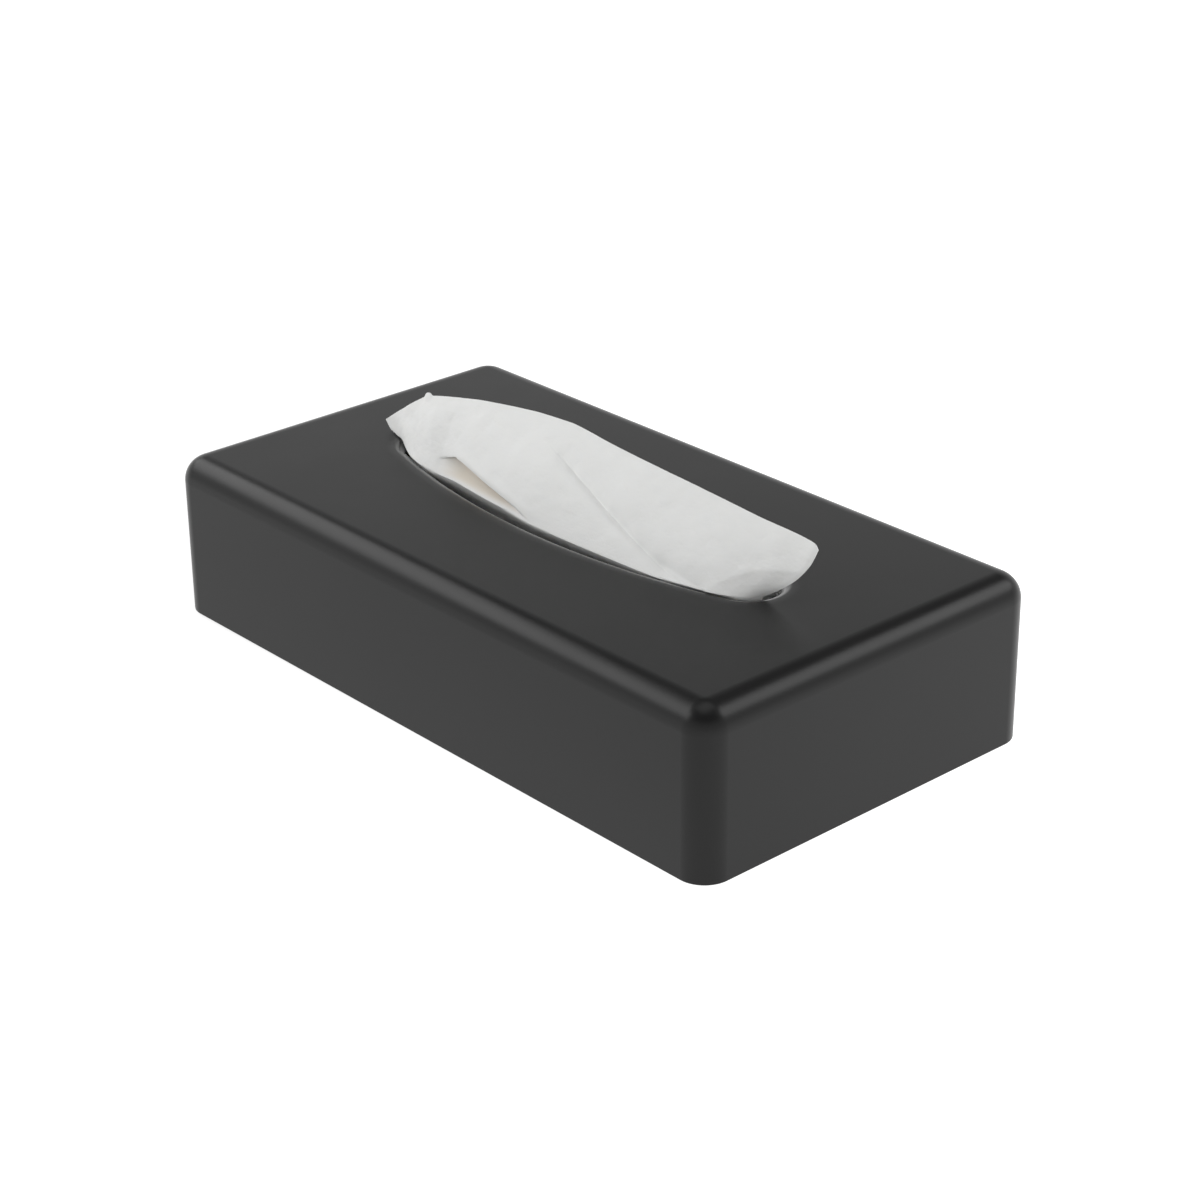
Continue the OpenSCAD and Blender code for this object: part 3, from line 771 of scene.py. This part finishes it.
def napkin_stack():
    """Each napkin is folded once, and every other one is turned round so that the folds alternate."""
    rng = np.random.default_rng(STACK_SEED)
    low, high = PACK_LOW, PACK_HIGH
    half_w = (high.y - low.y) / 2
    pitch = (high.z - low.z - STACK_SLACK) / (2 * LEAVES)
    x = np.linspace(low.x + SIDE_INSET, high.x - SIDE_INSET, ALONG_STEPS)
    leaves, laid_out = [], 0
    for k in range(LEAVES):
        side = -1 if k % 2 == 0 else 1
        section = folded_section(rng, half_w, low.z + STACK_GAP + (2 * k + 0.5) * pitch, pitch / 2)
        section[:, 0] *= side
        wave = WAVE_HIGH * MM * np.sin(x / (WAVE_LONG * MM) + rng.uniform(0, 6))
        wave += rng.uniform(-ASKEW_Y, ASKEW_Y) * MM
        grid = np.zeros((len(section), len(x), 3))
        grid[..., 0] = x[None] + rng.uniform(-ASKEW_X, ASKEW_X) * MM
        outward = np.abs(section[:, None, 0]) / half_w
        grid[..., 1] = section[:, None, 0] + side * wave[None] * 0.4 * outward
        grid[..., 2] = section[:, None, 1]
        run = np.concatenate([[0], np.cumsum(np.linalg.norm(np.diff(section, axis=0), axis=1))])
        flat = np.stack(np.broadcast_arrays(x[None], run[:, None]), -1)
        leaf = sheet_mesh("napkin_leaf_%02d" % (k + 1), grid, flat)
        apply_modifier(leaf, "SOLIDIFY", thickness=PLY_T, offset=0.0)
        leaves.append(leaf)
        laid_out += float(run[-1])
    join(*reversed(leaves))
    stack = named("napkin_stack")
    smooth(stack, 60)
    stack.data.materials.append(PAPER)
    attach(stack, "follower")
    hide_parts("napkin_pack")


# ---------- follower springs ----------

WIRE_R = 0.6 * MM
COIL_R_LOW = 14.5 * MM
COIL_R_HIGH = 7.6 * MM
COIL_TURNS = 6


def follower_spring(name, node, x):
    """A conical coil of round wire, closed flat at both ends."""
    low, high = SPRING_LOW.z + WIRE_R, SPRING_HIGH.z - WIRE_R
    turn = np.linspace(0, COIL_TURNS, COIL_TURNS * 40 + 1)
    rise = np.clip((turn - 0.75) / (COIL_TURNS - 1.5), 0, 1)
    radius = COIL_R_LOW + (COIL_R_HIGH - COIL_R_LOW) * turn / COIL_TURNS
    path = np.stack([x + radius * np.cos(2 * np.pi * turn), radius * np.sin(2 * np.pi * turn),
                     low + (high - low) * rise], -1)
    line = bpy.data.curves.new(name, "CURVE")
    line.dimensions = "3D"
    line.bevel_depth = WIRE_R
    line.bevel_resolution = 4
    line.use_fill_caps = True
    spline = line.splines.new("POLY")
    spline.points.add(len(path) - 1)
    spline.points.foreach_set("co", np.column_stack([path, np.ones(len(path))]).ravel())
    coil = bpy.data.objects.new(name, line)
    bpy.context.scene.collection.objects.link(coil)
    select_only(coil)
    bpy.ops.object.convert(target="MESH")
    coil = named(name)
    edit()
    bpy.ops.mesh.select_all(action="SELECT")
    bpy.ops.mesh.remove_doubles(threshold=0.001 * MM)
    leave()
    smooth(coil, 60)
    coil.data.materials.clear()
    coil.data.materials.append(WIRE)
    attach(coil, "base")
    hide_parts(node)
    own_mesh(coil)


# ---------- finishes of the frame's own parts ----------

FRAME_FINISHES = {"base_tray": TRAY, "foot": RUBBER, "keeper": GUIDE, "end_guide": GUIDE,
                  "guide_screws": SCREW, "follower_plate": PLATE, "magnet": NICKEL}


def finish_frame():
    for name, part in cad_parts.items():
        for start, material in FRAME_FINISHES.items():
            if name.startswith(start):
                part.data.materials.clear()
                part.data.materials.append(material)


# ---------- room ----------

CAMERA_AZIMUTH = 48.366
CAMERA_ELEVATION = 25.43
CAMERA_ROLL = -0.571
CAMERA_DISTANCE = 0.897
CAMERA_LENS = 84.63
AIM_RIGHT = 5.0 * MM
AIM_UP = 21.3 * MM


def add_camera():
    az, el, roll = (math.radians(a) for a in (CAMERA_AZIMUTH, CAMERA_ELEVATION, CAMERA_ROLL))
    back = Vector((math.sin(az) * math.cos(el), -math.cos(az) * math.cos(el), math.sin(el)))
    right = (-back).cross(Vector(UP)).normalized()
    up = right.cross(-back)
    tilted_right = math.cos(roll) * right + math.sin(roll) * up
    tilted_up = math.cos(roll) * up - math.sin(roll) * right
    data = bpy.data.cameras.new("camera")
    data.lens, data.sensor_width = CAMERA_LENS, 36
    data.clip_start, data.clip_end = 0.05, 50
    camera = bpy.data.objects.new("camera", data)
    bpy.context.scene.collection.objects.link(camera)
    foot = Vector((0, 0, COVER_LOW.z))
    place = foot + back * CAMERA_DISTANCE + tilted_right * AIM_RIGHT + tilted_up * AIM_UP
    turn = Matrix((tilted_right, tilted_up, back)).transposed()
    camera.matrix_world = Matrix.Translation(place) @ turn.to_4x4()
    bpy.context.scene.camera = camera


def softbox(name, place, aim, size, radiance):
    """A rectangular light of an even brightness, turned towards aim."""
    data = bpy.data.lights.new(name, "AREA")
    data.shape, data.size, data.size_y = "RECTANGLE", size[0], size[1]
    data.energy = radiance * math.pi * size[0] * size[1]
    lamp = bpy.data.objects.new(name, data)
    bpy.context.scene.collection.objects.link(lamp)
    lamp.location = place
    lamp.rotation_euler = (Vector(aim) - Vector(place)).to_track_quat("-Z", "Y").to_euler()


# How bright the room is: height of the direction looked in, from level to straight up, and brightness
ROOM_LIGHT = [(0.0, 1.0), (0.10, 0.88), (0.40, 0.78), (0.60, 0.08), (0.80, 0.1), (0.95, 0.3)]


def studio():
    """A pale floor, three soft lights, and a room that is bright near the horizon."""
    deselect()
    bpy.ops.mesh.primitive_plane_add(size=14, location=(0, 0, -0.02 * MM))
    floor = named("studio_floor")
    f = Finish("studio_floor", Roughness=0.9, Specular_IOR_Level=0.0, Emission_Strength=1.16)
    where = f.place()
    mottle = f.cloud(where, 0.8, 2)
    # The floor glows a little less close to the front left of the dispenser
    across = f.vector("DOT_PRODUCT", where, (0.75, 0.66, 0))
    far = f.between(f.vector("LENGTH", where), 0.3, 0.7)
    side = f.between(across, -0.22, 0.18)
    glow = f.blend(side + far - side * far, rgb(0.70, 0.70, 0.70), rgb(1, 1, 1))
    paint = f.blend(mottle, rgb(0.25, 0.25, 0.25), rgb(0.26, 0.26, 0.26))
    floor.data.materials.append(f.drive(Base_Color=paint, Emission_Color=glow))
    softbox("overhead", (0.05, 0.0, 1.3), (0, 0, 0), (1.0, 0.8), 1.1)
    softbox("left_front", (-0.80, -0.48, 0.78), (0, 0, 0.05), (1.5, 0.55), 3.3)
    softbox("right_rear", (0.60, 0.80, 0.80), (0, 0, 0.05), (0.8, 0.55), 3.6)
    room = bpy.data.worlds.new("studio_room")
    room.use_nodes = True
    bpy.context.scene.world = room
    board = Board(room.node_tree)
    board.tree.nodes.clear()
    way = board.node("ShaderNodeTexCoord").out("Generated")
    tall = board.node("ShaderNodeSeparateXYZ", {}, {0: way}).out("Z")
    light = board.node("ShaderNodeValToRGB", {"stops": ROOM_LIGHT}, {0: tall}).out(0)
    glow = board.node("ShaderNodeBackground", {}, {"Color": light, "Strength": 1.0}).out(0)
    board.node("ShaderNodeOutputWorld", {}, {"Surface": glow})
    bpy.context.scene.view_settings.view_transform = "Standard"


# ---------- assembly ----------

add_camera()
studio()
finish_frame()
cover_moulding()
pop_up_napkin()
napkin_stack()
for side, node in ((-1, "follower_spring_left"), (1, "follower_spring_right")):
    centre_x = side * (SPRING_LOW.x + SPRING_HIGH.x) / 2
    follower_spring(node.replace("follower_spring", "spring_coil"), node, centre_x)
